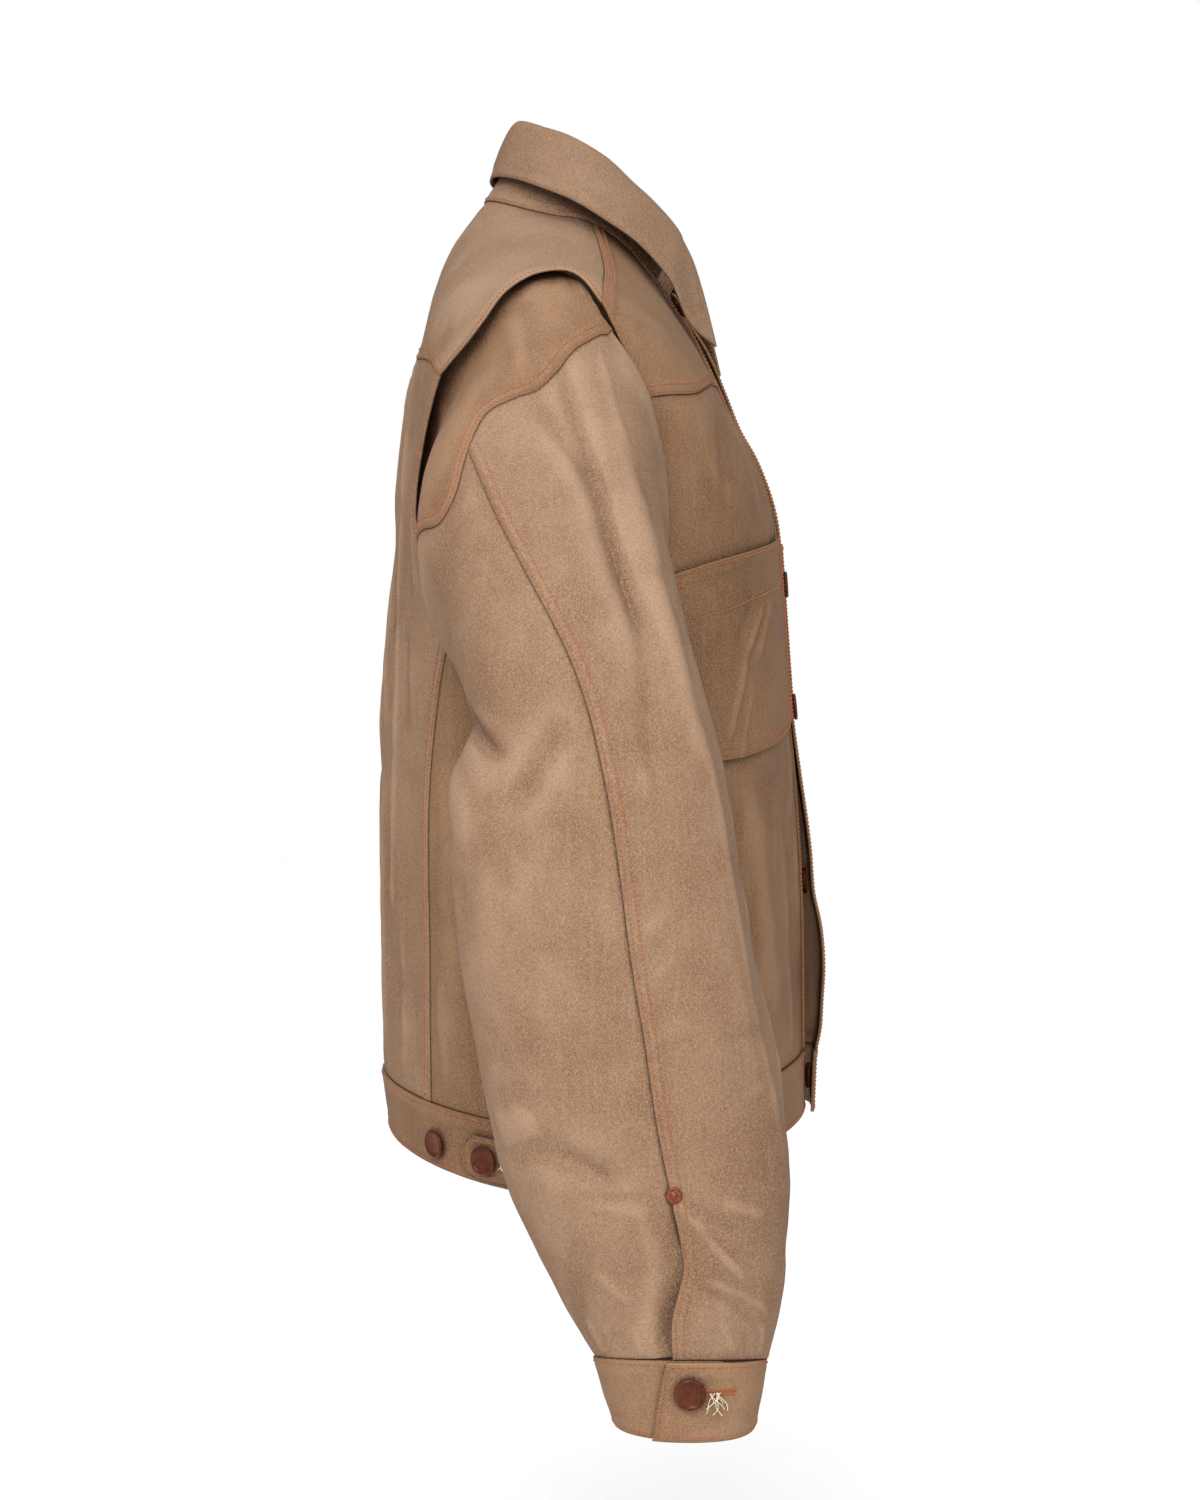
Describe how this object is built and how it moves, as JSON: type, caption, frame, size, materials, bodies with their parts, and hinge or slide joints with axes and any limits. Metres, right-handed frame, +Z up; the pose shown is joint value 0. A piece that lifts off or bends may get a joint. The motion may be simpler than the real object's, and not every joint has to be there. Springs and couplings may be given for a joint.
{
  "type": "waxed canvas jacket",
  "caption": "Short waxed canvas work jacket with buttoned front, turned-down collar, shoulder gussets, chest pockets and waistband",
  "frame": {"origin": "mount wearer_neck_base: middle of the neck base, level with the points where the shoulder seams meet the neck", "axes": "+Z up along the wearer's spine, -Y the way the wearer faces, +X to the wearer's left"},
  "size_m": [0.6348, 0.2792, 0.7602],
  "materials": {
    "canvas_body": "waxed, worn",
    "canvas_trim": "waxed, darker",
    "button": "polished, marbled",
    "rivet": "polished, copper-coloured"
  },
  "bodies": {
    "root": {"back_yoke": "canvas_body", "back_panel": "canvas_body", "front_yoke_right": "canvas_body", "front_yoke_left": "canvas_body", "front_panel_right": "canvas_body", "front_panel_left": "canvas_body", "placket_right": "canvas_body", "placket_left": "canvas_body", "chest_pocket_right": "canvas_trim", "chest_pocket_left": "canvas_trim", "waistband": "canvas_trim", "adjuster_tab_right": "canvas_trim", "adjuster_tab_left": "canvas_trim", "sleeve_front_right": "canvas_body", "sleeve_front_left": "canvas_body", "sleeve_back_right": "canvas_body", "sleeve_back_left": "canvas_body", "shoulder_gusset_right": "canvas_body", "shoulder_gusset_left": "canvas_body", "cuff_right": "canvas_trim", "cuff_left": "canvas_trim", "collar_stand": "canvas_body", "collar_fall": "canvas_body", "front_button_1": "button", "front_button_2": "button", "front_button_3": "button", "front_button_4": "button", "front_button_5": "button", "waist_button_right_1": "button", "waist_button_right_2": "button", "waist_button_left_1": "button", "waist_button_left_2": "button", "cuff_button_right": "button", "cuff_button_left": "button", "slit_rivet_right": "rivet", "slit_rivet_left": "rivet"}
  },
  "joints": []
}
